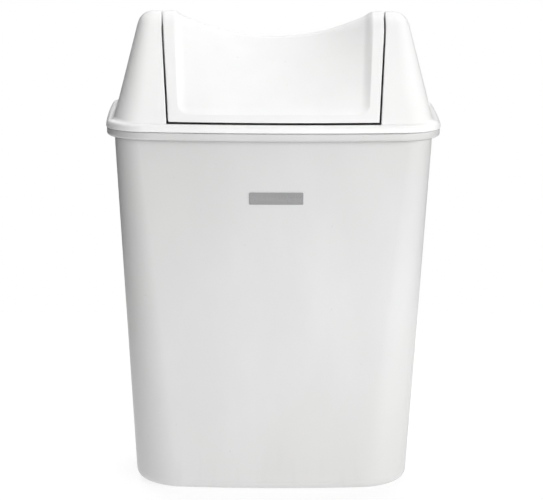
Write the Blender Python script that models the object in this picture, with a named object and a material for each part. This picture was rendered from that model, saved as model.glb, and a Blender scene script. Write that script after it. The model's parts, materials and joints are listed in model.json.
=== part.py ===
"""Small free-standing swing-lid waste bin in white moulded plastic.

Metres, +Z up. The front faces -Y, the origin is on the floor under the middle of the bin.
A tapered tub carries a lift-off hood, and a saddle-shaped flap swings between the hood's two
hollow cheeks on a pair of push-in pins.
"""
import math

import bmesh
import bpy
from mathutils import Vector

# Tub: bulged rounded rectangles, given as half width, half depth, corner radius and bulge
BASE_PLAN = (0.0980, 0.0620, 0.0320, 0.0060)
NECK_PLAN = (0.1131, 0.0717, 0.0170, 0.0080)
SIDE_BULGE = 0.0015
LEAST_CORNER = 0.0008
NECK_Z = 0.2568
TUB_WALL = 0.0020
TUB_FLOOR = 0.0022
BASE_FILLET = 0.0085
FOOT_INNER = 0.0130
FLOOR_RISE = 0.0025

# Tub rim: a turned-out ledge with a lip that hangs from it
RIM_OVERHANG = 0.0055
RIM_CORNER = 0.0300
RIM_TOP_Z = 0.2625
LIP_WALL = 0.0018
LIP_ROUND = 0.0020
RIM_ROUND = 0.0012

# Hood: a flange that rests on the rim, a skirt that drops inside the tub, and two cheeks
SEAT_GAP = 0.0003
FLANGE_OVERHANG = 0.0004
FLANGE_CORNER = 0.0260
FLANGE_TOP_Z = 0.2680
FLANGE_ROUND = 0.0030
FLANGE_CHAMFER = 0.0008
SKIRT_GAP = 0.0006
SKIRT_WALL = 0.0018
SKIRT_DEPTH = 0.0108
LEDGE_INNER = 0.0057
LEDGE_CHAMFER = 0.0004
HOOD_WALL = 0.0020
HOOD_TOP_Z = 0.3400
ROOF_RADIUS = 0.0200
CHEEK_FOOT_X = 0.1131
CHEEK_LEAN = math.radians(13.85)
CHEEK_TOP_ROUND = 0.0120
CHEEK_CORNERS = (0.0210, 0.0150)
CHEEK_SINK = 0.0005

# Flap and pivot: the ends of the flap are turned about the pivot axis, nearly as shallow cones
PIVOT_Z = HOOD_TOP_Z - ROOF_RADIUS
FLAP_FOOT_Z = 0.2691
FLAP_FOOT_Y = 0.0700
FLAP_WALL = 0.0020
FLAP_END_X = 0.0788
END_CONE = 0.0625
END_EASE = 0.0040
FLAP_GAP = 0.0013
SADDLE_DROP = 0.0176
SADDLE_RADIUS = 0.0060
SADDLE_EDGE_DROP = 0.0004
SADDLE_REACH = 0.0721
RECESS_SHARE = 0.903
RECESS_FOOT = 0.0066
RECESS_CORNER = 0.0080
RECESS_WALL = 0.0065
RECESS_HOLLOW = 2.1
RECESS_STEP = 0.0012
RECESS_SCOOP = 0.0020
STRAIGHT_SHARE = 0.83

PIN_RADIUS = 0.0030
PIN_HOLE_RADIUS = 0.0033
PIN_HEAD_RADIUS = 0.0052
PIN_HEAD = 0.0016
PIN_TIP = 0.0012
BOSS_RADIUS = 0.0062
HOOD_BOSS = 0.0035
FLAP_BOSS = 0.0060

LABEL_SIZE = (0.0380, 0.0085)
LABEL_THICKNESS = 0.0004
LABEL_X = 0.0020
LABEL_Z = 0.2156
LABEL_GAP = 0.0003

# Facets
CORNER_STEPS = 6
FRONT_STEPS = 4
SIDE_STEPS = 2
WALL_LEVELS = 4
FILLET_STEPS = 3
FLAP_ROWS = (0.0, 0.065, 0.085, 0.11, 0.15, 0.27, 0.41, 0.55, 0.69, 0.83, 0.89, 0.95, 1.0)
FLAP_COLUMNS = (0.0, 0.22, 0.44, 0.62, 0.76, 0.825, 0.87, 0.903, 1.0)
FLAP_END_STEPS = 6
CHEEK_LEVELS = (0.0, 0.05, 0.28, 0.52, 0.76, 0.885, 0.93, 0.965, 0.988)
CREST_HALF_WIDTH = 0.0010
CONE_STEPS = 6
ROUND_STEPS = 20


def clear_scene():
    for item in list(bpy.data.objects):
        bpy.data.objects.remove(item, do_unlink=True)


def plastic(name, colour, roughness):
    """A plain moulded plastic."""
    material = bpy.data.materials.new(name)
    material.use_nodes = True
    shader = material.node_tree.nodes["Principled BSDF"]
    shader.inputs["Base Color"].default_value = (*colour, 1.0)
    shader.inputs["Roughness"].default_value = roughness
    shader.inputs["Metallic"].default_value = 0.0
    return material


def add_object(name, points, faces, material, location=(0.0, 0.0, 0.0), parent=None):
    """Makes a mesh object whose points are given in world metres; its origin goes to location."""
    shift = Vector(location)
    mesh = bpy.data.meshes.new(name)
    mesh.from_pydata([Vector(point) - shift for point in points], [], faces)
    model = bmesh.new()
    model.from_mesh(mesh)
    bmesh.ops.recalc_face_normals(model, faces=model.faces)
    model.to_mesh(mesh)
    model.free()
    mesh.shade_smooth()
    mesh.set_sharp_from_angle(angle=math.radians(35))
    mesh.materials.append(material)
    item = bpy.data.objects.new(name, mesh)
    bpy.context.scene.collection.objects.link(item)
    item.parent = parent
    item.location = shift - (parent.matrix_world.translation if parent else Vector())
    bpy.context.view_layer.update()
    return item


def boolean(item, tool, operation):
    """Cuts or joins with a tool object that is not part of the bin itself."""
    tool.hide_render = True
    tool.display_type = "WIRE"
    step = item.modifiers.new(tool.name, "BOOLEAN")
    step.operation = operation
    step.solver = "EXACT"
    step.object = tool


def mix(low, high, share):
    return low + (high - low) * share


# ---------------------------------------------------------------- plans and lofts


def full_plan(half_x, half_y, corner, bulge):
    """Closed plan of a rounded rectangle with bulged sides, counter-clockwise from its front."""
    corner = max(corner, LEAST_CORNER)
    straight_x, straight_y = half_x - corner, half_y - corner
    points = []
    for step in range(FRONT_STEPS):
        points.append((straight_x * step / FRONT_STEPS, -half_y))
    for step in range(CORNER_STEPS + 1):
        turn = 0.5 * math.pi * step / CORNER_STEPS
        points.append((straight_x + corner * math.sin(turn), -straight_y - corner * math.cos(turn)))
    for step in range(1, SIDE_STEPS + 1):
        points.append((half_x, -straight_y * (1.0 - step / SIDE_STEPS)))
    quarter = [
        (x * (1.0 - SIDE_BULGE / half_x * (y / half_y) ** 2),
         y * (1.0 - bulge / half_y * (x / half_x) ** 2))
        for x, y in points
    ]
    right = quarter + [(x, -y) for x, y in reversed(quarter[:-1])]
    return right + [(-x, y) for x, y in reversed(right[1:-1])]


def tub_corner(wall_corner, inset):
    """Corner radius of a plan of the tub; the rim's corners are rounder than the wall's."""
    lip = LIP_WALL - RIM_OVERHANG
    if inset < lip:
        return RIM_CORNER - RIM_OVERHANG - inset
    if inset < 0.0:
        return mix(wall_corner, RIM_CORNER - LIP_WALL, inset / lip)
    return wall_corner - inset


def tub_plan(z, inset):
    """Plan of the tub's outer wall at a height, moved inwards by inset, or outwards to its rim."""
    share = z / NECK_Z
    half_x, half_y, corner, bulge = (mix(a, b, share) for a, b in zip(BASE_PLAN, NECK_PLAN))
    return full_plan(half_x - inset, half_y - inset, tub_corner(corner, inset), bulge)


def rim_plan(inset):
    """Plan of the hood's ring over the tub's rim, moved inwards by inset from the rim's edge."""
    half_x, half_y, _, bulge = NECK_PLAN
    out = RIM_OVERHANG - inset
    return full_plan(half_x + out, half_y + out, FLANGE_CORNER - inset, bulge)


def loft_faces(rings, count, closed):
    """Quads between neighbouring rings of count points, and end caps unless closed in a loop."""
    faces = []
    for ring in range(rings if closed else rings - 1):
        low, high = ring * count, (ring + 1) % rings * count
        for step in range(count):
            after = (step + 1) % count
            faces.append((low + step, low + after, high + after, high + step))
    if not closed:
        faces.append(tuple(reversed(range(count))))
        faces.append(tuple(range((rings - 1) * count, rings * count)))
    return faces


def arc(centre, radius, start, end, steps):
    """Points on an arc in (inset, z), angles in degrees from +inset towards +z."""
    angles = [math.radians(mix(start, end, step / steps)) for step in range(steps + 1)]
    return [(centre[0] + radius * math.cos(a), centre[1] + radius * math.sin(a)) for a in angles]


# ---------------------------------------------------------------- tub


def tub_profile():
    """The tub's section as (inset, z), from under the floor round the rim to the floor inside."""
    inner_fillet = BASE_FILLET - TUB_WALL
    outer = [(FOOT_INNER + FLOOR_RISE, FLOOR_RISE), (FOOT_INNER, 0.0)]
    outer += arc((BASE_FILLET, BASE_FILLET), BASE_FILLET, 270, 180, FILLET_STEPS)
    ledge = RIM_TOP_Z - TUB_WALL
    for level in range(1, WALL_LEVELS + 1):
        outer.append((0.0, mix(BASE_FILLET, ledge, level / WALL_LEVELS)))
    lip = LIP_WALL - RIM_OVERHANG
    rim = [(lip, ledge), (lip, NECK_Z)]
    rim += arc((LIP_ROUND - RIM_OVERHANG, NECK_Z + LIP_ROUND), LIP_ROUND, 270, 180, 2)
    round_centre = (RIM_ROUND - RIM_OVERHANG, RIM_TOP_Z - RIM_ROUND)
    rim += arc(round_centre, RIM_ROUND, 180, 90, 2)
    rim += [(0.6 * TUB_WALL, RIM_TOP_Z), (TUB_WALL, RIM_TOP_Z - 0.4 * TUB_WALL)]
    inner = []
    for level in range(1, WALL_LEVELS):
        inner.append((TUB_WALL, mix(RIM_TOP_Z, BASE_FILLET, level / WALL_LEVELS)))
    inner += arc((BASE_FILLET, TUB_FLOOR + inner_fillet), inner_fillet, 180, 270, FILLET_STEPS)
    step_in = FOOT_INNER + 0.4 * TUB_FLOOR
    inner += [(step_in, TUB_FLOOR), (step_in + FLOOR_RISE, TUB_FLOOR + FLOOR_RISE)]
    return outer + rim + inner


def make_tub(material):
    points = []
    profile = tub_profile()
    for inset, z in profile:
        plan = tub_plan(min(z, NECK_Z), inset)
        points += [(x, y, z) for x, y in plan]
    faces = loft_faces(len(profile), len(plan), closed=False)
    return add_object("waste_tub", points, faces, material)


def tub_front_y(x, z):
    """Y of the tub's front wall."""
    share = z / NECK_Z
    half_x, half_y, _, bulge = (mix(a, b, share) for a, b in zip(BASE_PLAN, NECK_PLAN))
    return -half_y + bulge * (x / half_x) ** 2


# ---------------------------------------------------------------- roof shared by hood and flap


def foot_y(x):
    """Half depth of the roof at its foot, which bulges as the rim does."""
    return FLAP_FOOT_Y - NECK_PLAN[3] * (x / NECK_PLAN[0]) ** 2


def face_slope(foot, apex_z, radius):
    """Slope of the straight face from its foot (half depth, z) up to a round crest."""
    rise = apex_z - radius - foot[1]
    reach = math.hypot(foot[0], rise)
    return math.atan2(rise, foot[0]) + math.asin(radius / reach)


def half_depth(x, z, skin):
    """Half depth of the roof at a width and height, or of the surface skin under it."""
    slope = face_slope((foot_y(x), FLAP_FOOT_Z), HOOD_TOP_Z, ROOF_RADIUS)
    radius, up = ROOF_RADIUS - skin, z - PIVOT_Z
    if up < radius * math.cos(slope):
        return (radius - up * math.cos(slope)) / math.sin(slope)
    return math.sqrt(max(radius * radius - up * up, 0.0))


def arch_point(foot, apex_z, radius, skin, share):
    """Point (y, z) on the front half of an arch: straight from its foot, then round to its crest."""
    slope = face_slope(foot, apex_z, radius)
    inner = radius - skin
    centre_z = apex_z - radius
    tangent = (-inner * math.sin(slope), centre_z + inner * math.cos(slope))
    if share < STRAIGHT_SHARE:
        left = (1.0 - share / STRAIGHT_SHARE) * (tangent[1] - foot[1])
        return tangent[0] - left / math.tan(slope), tangent[1] - left
    turn = slope * (1.0 - (share - STRAIGHT_SHARE) / (1.0 - STRAIGHT_SHARE))
    return -inner * math.sin(turn), centre_z + inner * math.cos(turn)


def cone_x(y, z, skin):
    """Half width of the flap's turned end, or of a surface skin outside it."""
    beyond = max(y * y + (z - PIVOT_Z) ** 2 - ROOF_RADIUS ** 2, 0.0)
    return FLAP_END_X + skin - END_CONE * (math.sqrt(beyond + END_EASE ** 2) - END_EASE)


# ---------------------------------------------------------------- hood


def flange_profile():
    """Section of the hood's ring as (inset from the rim's edge, z): flange, ledge and skirt."""
    seat = RIM_TOP_Z + SEAT_GAP
    skirt_outer = RIM_OVERHANG + TUB_WALL + SKIRT_GAP
    skirt_inner = skirt_outer + SKIRT_WALL
    taper = SKIRT_DEPTH * (NECK_PLAN[0] - BASE_PLAN[0]) / NECK_Z
    profile = [(FLANGE_CHAMFER - FLANGE_OVERHANG, seat), (-FLANGE_OVERHANG, seat + FLANGE_CHAMFER)]
    round_centre = (FLANGE_ROUND - FLANGE_OVERHANG, FLANGE_TOP_Z - FLANGE_ROUND)
    profile += arc(round_centre, FLANGE_ROUND, 180, 90, FILLET_STEPS)
    profile += [(LEDGE_INNER, FLANGE_TOP_Z), (skirt_inner, seat + LEDGE_CHAMFER)]
    profile += [(skirt_inner + taper, seat - SKIRT_DEPTH), (skirt_outer + taper, seat - SKIRT_DEPTH)]
    profile.append((skirt_outer, seat))
    return profile


def make_flange(material):
    points = []
    profile = flange_profile()
    for inset, z in profile:
        plan = rim_plan(inset)
        points += [(x, y, z) for x, y in plan]
    faces = loft_faces(len(profile), len(plan), closed=True)
    return add_object("lid_hood", points, faces, material, location=(0.0, 0.0, RIM_TOP_Z))


def cheek_half_width(z, skin):
    """Half width of the hood over its leaning cheeks, rounded off at the crest."""
    top_x = CHEEK_FOOT_X - (HOOD_TOP_Z - FLANGE_TOP_Z) * math.tan(CHEEK_LEAN)
    centre_z = HOOD_TOP_Z - CHEEK_TOP_ROUND
    centre_x = top_x + CHEEK_TOP_ROUND * (math.tan(CHEEK_LEAN) - 1.0 / math.cos(CHEEK_LEAN))
    radius = CHEEK_TOP_ROUND - skin
    up = z - centre_z
    if up < radius * math.sin(CHEEK_LEAN):
        return centre_x + radius / math.cos(CHEEK_LEAN) - up * math.tan(CHEEK_LEAN)
    return centre_x + math.sqrt(max(radius * radius - up * up, 0.0))


def cheek_section(z, skin, foot_z):
    """Closed plan of the right cheek at a height: front strip, outer side, rear strip, coned wall."""
    edge_y = half_depth(FLAP_END_X, z, skin)
    edge_x = cone_x(edge_y, z, FLAP_GAP + skin)
    half_x = cheek_half_width(z, skin)
    corner = mix(*CHEEK_CORNERS, (z - foot_z) / (HOOD_TOP_Z - foot_z)) - skin
    corner = min(corner, 0.85 * edge_y, 0.6 * (half_x - edge_x))
    straight_x = half_x - corner
    start_turn = math.atan((edge_y - half_depth(straight_x, z, skin)) / (straight_x - edge_x))
    straight_x += corner * math.sin(start_turn)
    front = []
    for step in range(FRONT_STEPS):
        x = mix(edge_x, straight_x, step / FRONT_STEPS)
        front.append((x, -half_depth(x, z, skin)))
    centre_y = corner * math.cos(start_turn) - half_depth(straight_x, z, skin)
    for step in range(CORNER_STEPS + 1):
        turn = mix(start_turn, 0.5 * math.pi, step / CORNER_STEPS)
        front.append((half_x - corner * (1.0 - math.sin(turn)), centre_y - corner * math.cos(turn)))
    side = [(half_x, centre_y * (1.0 - step / SIDE_STEPS)) for step in range(1, SIDE_STEPS + 1)]
    right = front + side
    right += [(x, -y) for x, y in reversed(right[:-1])]
    for step in range(1, CONE_STEPS):
        y = edge_y * (1.0 - 2.0 * step / CONE_STEPS)
        right.append((cone_x(y, z, FLAP_GAP + skin), y))
    return [(x, y, z) for x, y in right]


def make_cheek(side, material):
    """One hollow cheek, open at its bottom; side is 1 on the right and -1 on the left."""
    foot_z = RIM_TOP_Z + SEAT_GAP + CHEEK_SINK
    skins = []
    for skin in (0.0, HOOD_WALL):
        radius = ROOF_RADIUS - skin
        crest = PIVOT_Z + math.sqrt(radius * radius - CREST_HALF_WIDTH ** 2)
        levels = [mix(foot_z, crest, share) for share in CHEEK_LEVELS] + [crest]
        sections = [cheek_section(z, skin, foot_z) for z in levels]
        skins.append([(side * x, y, z) for section in sections for x, y, z in section])
    count = len(sections[0])
    faces = loft_faces(len(levels), count, closed=False)
    faces.pop(-2)
    points, faces = solid_between(*skins, faces)
    name = "cheek_right" if side > 0 else "cheek_left"
    return add_object(name, points, faces, material)


def solid_between(outer, inner, faces):
    """Closes two matching skins of one sheet into a solid along the sheet's open edges."""
    count = len(outer)
    edges = {(face[i - 1], face[i]) for face in faces for i in range(len(face))}
    rim = [(b, a, a + count, b + count) for a, b in sorted(edges) if (b, a) not in edges]
    inner_faces = [tuple(count + index for index in reversed(face)) for face in faces]
    return outer + inner, faces + inner_faces + rim


# ---------------------------------------------------------------- round pieces along X


def turned(name, profile, material, location, parent=None):
    """A solid turned about the pivot axis from (x, radius) points."""
    points = []
    for x, radius in profile:
        for step in range(ROUND_STEPS):
            turn = 2.0 * math.pi * step / ROUND_STEPS
            points.append((x, radius * math.cos(turn), PIVOT_Z + radius * math.sin(turn)))
    faces = loft_faces(len(profile), ROUND_STEPS, closed=False)
    return add_object(name, points, faces, material, location, parent)


def make_hood(material):
    """The hood: its flange ring with two cheeks, and a drilled boss in each cheek's inner wall."""
    hood = make_flange(material)
    wall = cone_x(0.0, PIVOT_Z, FLAP_GAP)
    for side, name in ((1, "right"), (-1, "left")):
        boolean(hood, make_cheek(side, material), "UNION")
        ends = (side * (wall + 0.3 * HOOD_WALL), side * (wall + HOOD_WALL + HOOD_BOSS))
        boss = turned(f"hood_boss_{name}", [(x, BOSS_RADIUS) for x in ends], material,
                      (0.0, 0.0, PIVOT_Z))
        boolean(hood, boss, "UNION")
    reach = wall + HOOD_WALL + 2.0 * HOOD_BOSS
    drill = turned("hood_drill", [(x, PIN_HOLE_RADIUS) for x in (-reach, reach)], material,
                   (0.0, 0.0, PIVOT_Z))
    boolean(hood, drill, "DIFFERENCE")
    return hood


def make_pin(side, material, hood):
    """A push-in pin: its head sits in the cheek's hollow, its shank carries the flap's end."""
    name = "pivot_pin_right" if side > 0 else "pivot_pin_left"
    head = cone_x(0.0, PIVOT_Z, FLAP_GAP) + HOOD_WALL + HOOD_BOSS + SEAT_GAP
    tip = FLAP_END_X - FLAP_WALL - FLAP_BOSS + PIN_TIP
    profile = [
        (tip - PIN_TIP, PIN_RADIUS - 0.6 * PIN_TIP),
        (tip, PIN_RADIUS),
        (head, PIN_RADIUS),
        (head, PIN_HEAD_RADIUS),
        (head + 0.7 * PIN_HEAD, PIN_HEAD_RADIUS),
        (head + PIN_HEAD, PIN_HEAD_RADIUS - 0.3 * PIN_HEAD),
    ]
    profile = [(side * x, radius) for x, radius in profile]
    return turned(name, profile, material, (side * head, 0.0, PIVOT_Z), parent=hood)


# ---------------------------------------------------------------- flap


def recess_mask(x, y, z, along):
    """0 on the flap's border, 1 inside its scooped recess; along is the way up the face."""
    edge = RECESS_SHARE * cone_x(y, z, 0.0)
    from_side, from_foot = edge - abs(x), along - RECESS_FOOT
    if from_side < RECESS_CORNER and from_foot < RECESS_CORNER:
        inside = RECESS_CORNER - math.hypot(RECESS_CORNER - from_side, RECESS_CORNER - from_foot)
    else:
        inside = min(from_side, from_foot)
    share = min(max(inside / RECESS_WALL, 0.0), 1.0)
    return 1.0 - (1.0 - share) ** RECESS_HOLLOW


def flap_point(column, share, skin):
    """Point on the flap's front half, at a share of its width and of the way to its crest."""
    foot = (foot_y(column * FLAP_END_X), FLAP_FOOT_Z)
    y, z = arch_point(foot, HOOD_TOP_Z, ROOF_RADIUS, skin, share)
    x = column * cone_x(y, z, -skin)
    outer_y, outer_z = arch_point(foot, HOOD_TOP_Z, ROOF_RADIUS, 0.0, share)
    along = math.hypot(outer_y + foot[0], outer_z - foot[1])
    mask = recess_mask(x, outer_y, outer_z, along)
    across = 1.0 - min(abs(x) / SADDLE_REACH, 1.0) ** 2
    drop = SADDLE_EDGE_DROP + SADDLE_DROP * across
    radius = mix(ROOF_RADIUS, SADDLE_RADIUS, across)
    slope = face_slope(foot, HOOD_TOP_Z, ROOF_RADIUS)
    deep = RECESS_STEP + RECESS_SCOOP * math.sin(math.pi * share)
    low_foot = (foot[0] - deep * math.sin(slope), foot[1])
    floor_y, floor_z = arch_point(low_foot, HOOD_TOP_Z - drop, radius, skin, share)
    return x, mix(y, floor_y, mask), mix(z, floor_z, mask)


def flap_sheet():
    """Names of the flap's points and the faces between them, shared by its two skins."""
    keys = {}

    def index(*key):
        return keys.setdefault(key, len(keys))

    columns = [-u for u in reversed(FLAP_COLUMNS[1:])] + list(FLAP_COLUMNS)
    rows = [(share, 1) for share in FLAP_ROWS] + [(share, -1) for share in reversed(FLAP_ROWS[:-1])]
    faces = []
    for left, right in zip(columns, columns[1:]):
        for low, high in zip(rows, rows[1:]):
            corners = ((left, low), (right, low), (right, high), (left, high))
            faces.append(tuple(index(u, *row, 0) for u, row in corners))
    for end in (-1.0, 1.0):
        for low, high in zip(FLAP_ROWS, FLAP_ROWS[1:]):
            for step in range(FLAP_END_STEPS):
                around = [(low, step), (high, step), (high, step + 1), (low, step + 1)]
                face = [index(*end_key(end, share, at)) for share, at in around]
                face = [item for i, item in enumerate(face) if item != face[i - 1]]
                faces.append(tuple(reversed(face) if end > 0 else face))
    return keys, faces


def end_key(end, share, step):
    """Name of a point of the flap's end wall; its outer points are those of the roof."""
    if step in (0, FLAP_END_STEPS) or share == 1.0:
        return end, share, 1 if step == 0 or share == 1.0 else -1, 0
    return end, share, 0, step


def flap_skin(keys, skin):
    points = []
    for column, share, face, step in keys:
        x, y, z = flap_point(column, share, skin)
        if face == 0:
            y *= 1.0 - 2.0 * step / FLAP_END_STEPS
            x = column * cone_x(y, z, -skin)
        points.append((x, -y if face == -1 else y, z))
    return points


def make_flap(material, hood):
    """The saddle-shaped flap: scooped front and rear, coned ends, open underneath."""
    keys, faces = flap_sheet()
    points, faces = solid_between(flap_skin(keys, 0.0), flap_skin(keys, FLAP_WALL), faces)
    pivot = (0.0, 0.0, PIVOT_Z)
    flap = add_object("swing_flap", points, faces, material, location=pivot, parent=hood)
    for side, name in ((1, "right"), (-1, "left")):
        start = side * (FLAP_END_X - 0.4 * FLAP_WALL)
        end = side * (FLAP_END_X - FLAP_WALL - FLAP_BOSS)
        boss = turned(f"flap_boss_{name}", [(x, BOSS_RADIUS) for x in (end, start)], material, pivot)
        boolean(flap, boss, "UNION")
    reach = FLAP_END_X + FLAP_BOSS
    for side, name in ((1, "right"), (-1, "left")):
        ends = (side * (FLAP_END_X - 2.0 * FLAP_BOSS), side * reach)
        drill = turned(f"flap_drill_{name}", [(x, PIN_HOLE_RADIUS) for x in ends], material, pivot)
        boolean(flap, drill, "DIFFERENCE")
    return flap


# ---------------------------------------------------------------- label


def make_label(material, tub):
    """A blank plate on the front of the tub, bent to the wall."""
    steps = 6
    width, height = LABEL_SIZE
    skins = []
    for off in (LABEL_GAP + LABEL_THICKNESS, LABEL_GAP):
        skin = []
        for z in (LABEL_Z - 0.5 * height, LABEL_Z + 0.5 * height):
            for step in range(steps + 1):
                x = LABEL_X + width * (step / steps - 0.5)
                skin.append((x, tub_front_y(x, z) - off, z))
        skins.append(skin)
    above = steps + 1
    faces = [(i, i + 1, i + 1 + above, i + above) for i in range(steps)]
    points, faces = solid_between(*skins, faces)
    place = (LABEL_X, tub_front_y(LABEL_X, LABEL_Z), LABEL_Z)
    return add_object("label_plate", points, faces, material, location=place, parent=tub)


def main():
    clear_scene()
    tub_white = plastic("tub_plastic", (0.76, 0.76, 0.765), 0.38)
    lid_white = plastic("lid_plastic", (0.86, 0.86, 0.86), 0.36)
    pin_white = plastic("pin_plastic", (0.80, 0.80, 0.79), 0.45)
    grey = plastic("label_grey", (0.33, 0.33, 0.335), 0.50)
    tub = make_tub(tub_white)
    hood = make_hood(lid_white)
    make_flap(lid_white, hood)
    for side in (1, -1):
        make_pin(side, pin_white, hood)
    make_label(grey, tub)


main()
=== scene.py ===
import json
import math

import bmesh
import bpy
from mathutils import Matrix, Vector


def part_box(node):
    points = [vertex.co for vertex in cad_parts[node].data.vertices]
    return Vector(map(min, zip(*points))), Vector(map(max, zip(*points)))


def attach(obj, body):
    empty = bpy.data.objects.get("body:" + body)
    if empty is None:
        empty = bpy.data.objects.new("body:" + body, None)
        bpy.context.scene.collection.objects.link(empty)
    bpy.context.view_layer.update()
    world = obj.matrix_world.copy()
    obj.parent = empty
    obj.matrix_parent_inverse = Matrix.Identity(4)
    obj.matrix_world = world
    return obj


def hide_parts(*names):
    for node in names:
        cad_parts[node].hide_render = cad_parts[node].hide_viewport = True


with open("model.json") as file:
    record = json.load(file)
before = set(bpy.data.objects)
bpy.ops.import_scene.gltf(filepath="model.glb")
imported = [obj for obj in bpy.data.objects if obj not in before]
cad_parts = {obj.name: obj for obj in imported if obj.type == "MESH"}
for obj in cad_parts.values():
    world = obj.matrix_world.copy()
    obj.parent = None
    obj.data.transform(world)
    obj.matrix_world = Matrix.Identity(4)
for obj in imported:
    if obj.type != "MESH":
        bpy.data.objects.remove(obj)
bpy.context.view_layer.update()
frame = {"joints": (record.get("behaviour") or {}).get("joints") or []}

# Looks of a small swing-lid waste bin in white moulded plastic: fine meshes of its tub, hood, flap,
# pins and label, their materials, and the studio. Metres, +Z up, the front faces -Y.

# ---------------------------------------------------------------- sizes taken from the frame

TUB_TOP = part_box("waste_tub")[1]
HOOD_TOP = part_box("lid_hood")[1]
LABEL_LOW, LABEL_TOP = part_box("label_plate")
PIVOT_Z = next(j for j in frame["joints"] if j["name"] == "flap_swing")["pos_m"][2]

# Tub: plans are half width, half depth, corner radius and bulge of the long sides
RIM_OVERHANG = 0.0055
BASE_PLAN = (0.0980, 0.0620, 0.0320, 0.0060)
NECK_PLAN = (TUB_TOP.x - RIM_OVERHANG, TUB_TOP.y - RIM_OVERHANG, 0.0170, 0.0080)
RIM_CORNER = 0.0300
SIDE_BULGE = 0.0015
NECK_Z = 0.2568
TUB_WALL = 0.0020
TUB_FLOOR = 0.0022
BASE_FILLET = 0.0085
FOOT_INNER = 0.0130
FLOOR_RISE = 0.0025
RIM_TOP_Z = TUB_TOP.z
LIP_WALL = 0.0018
LIP_ROUND = 0.0020
LIP_EDGE_ROUND = 0.0004
LIP_INNER_ROUND = 0.0005
LEDGE_ROUND = 0.0008
RIM_ROUND = 0.0012
MOUTH_ROUND = 0.0007
FOOT_ROUND = 0.0008
RISE_ROUND = 0.0010
LEAST_CORNER = 0.0008

# Hood: the ring that rests on the rim, its skirt inside the tub and the two cheeks, whose corners are
# given at the foot and at the crest, and are at most a share of its half depth and of its width. Its
# fillets are given at the front and at the side.
SEAT_GAP = 0.0003
SEAT_Z = RIM_TOP_Z + SEAT_GAP
FLANGE_OVERHANG = 0.0004
FLANGE_CORNER = 0.0260
FLANGE_HEIGHT = 0.0055
FLANGE_TOP_Z = RIM_TOP_Z + FLANGE_HEIGHT
FLANGE_ROUND = 0.0030
FLANGE_CHAMFER = 0.0008
SKIRT_GAP = 0.0006
SKIRT_WALL = 0.0018
SKIRT_DEPTH = 0.0108
SKIRT_ROUND = 0.0006
RING_STEP = 0.0004
LEDGE_INNER = 0.0057
HOOD_WALL = 0.0020
HOOD_TOP_Z = HOOD_TOP.z
ROOF_RADIUS = HOOD_TOP_Z - PIVOT_Z
CHEEK_FOOT_X = 0.1131
CHEEK_LEAN = math.radians(13.85)
CHEEK_TOP_ROUND = 0.0120
CHEEK_CORNERS = (0.0210, 0.0150)
CORNER_OF_DEPTH = 0.85
CORNER_OF_WIDTH = 0.6
CORNER_BLEND = 0.0040
CHEEK_SINK = 0.0005
CHEEK_FILLETS = (0.0010, 0.0026)
STEEPEST_FLARE = math.radians(72)
FLARE_SINK = 0.0002
EDGE_ROUND = 0.0006

# Flap: its ends are turned about the pivot, so that the gap beside them stays the same as it swings.
# The saddle drops from the crest within its reach, and the recess is scooped into both faces.
FOOT_GAP = 0.0011
FLAP_FOOT_Z = FLANGE_TOP_Z + FOOT_GAP
FLAP_FOOT_Y = 0.0700
FLAP_WALL = 0.0020
FLAP_END_X = 0.0788
END_CONE = 0.0625
END_EASE = 0.0040
FLAP_GAP = 0.0013
SADDLE_DROP = 0.0176
SADDLE_RADIUS = 0.0060
SADDLE_EDGE_DROP = 0.0004
SADDLE_REACH = 0.0721
RECESS_SHARE = 0.903
RECESS_FOOT = 0.0066
RECESS_CORNER = 0.0080
RECESS_WALL = 0.0065
RECESS_HOLLOW = 2.1
RECESS_SOFT = 0.0005
RECESS_STEP = 0.0012
RECESS_SCOOP = 0.0020
STRAIGHT_SHARE = 0.83

# Pins and bosses
PIN_RADIUS = 0.0030
PIN_HOLE_RADIUS = 0.0033
PIN_HEAD_RADIUS = 0.0052
PIN_HEAD = 0.0016
PIN_HEAD_GAP = 0.0003
PIN_HEAD_ROUND = 0.0006
PIN_TIP = 0.0012
PIN_TIP_ROUND = 0.0003
PIN_CREASE = 0.0002
BOSS_RADIUS = 0.0062
BOSS_ROUND = 0.0005
HOOD_BOSS = 0.0035
FLAP_BOSS = 0.0060

# Label: its corner radius, softened edge, gap to the wall and height over the wall
LABEL_CORNER = 0.0006
LABEL_SOFT = 0.00012
LABEL_GAP = 0.0001
LABEL_HEIGHT = 0.0006

# Steps of the fine meshes. The flap's columns are closest from a margin before the recess wall, and its
# rows up to a share of the way to the crest. The cheek's levels stop part of a step short of its crest.
FRONT_STEPS = 22
CORNER_STEPS = 16
SIDE_STEPS = 8
ROUND_STEPS = 5
FILLET_TURNS = range(66, -1, -6)
LEVEL_STEPS = 25
CREST_LEFT = 0.6
COLUMN_STEPS = (26, 14, 3, 6)
WALL_MARGIN = 0.01
ROW_STEPS = (4, 6, 22, 30, 14)
SCOOP_SHARE = 0.20
END_STEPS = 10
TURN_STEPS = 64
LONGEST_STEP = 0.010
LABEL_STEP = 0.004
WELD = 1e-6
SHARP_ANGLE = math.radians(40)

# Materials: linear colours, roughness, how strong the tub's darkening streaks near the floor are and
# between which heights they fade out
# The tub's white is darker than the lid's partly as painted shade, standing for the shade its upright
# wall gets, and partly as its own slightly greyer white.
TUB_WHITE_AND_SHADE = (0.615, 0.615, 0.615)
LID_WHITE = (0.86, 0.86, 0.86)
PIN_WHITE = (0.78, 0.78, 0.77)
LABEL_GREY = (0.28, 0.28, 0.285)
TUB_ROUGHNESS = 0.40
LID_ROUGHNESS = 0.37
PIN_ROUGHNESS = 0.45
TUB_LOW_DARKENING = 0.18
LOW_DARKENING_HEIGHTS = (0.004, 0.040)
PLASTIC_IOR = 1.49

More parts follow.
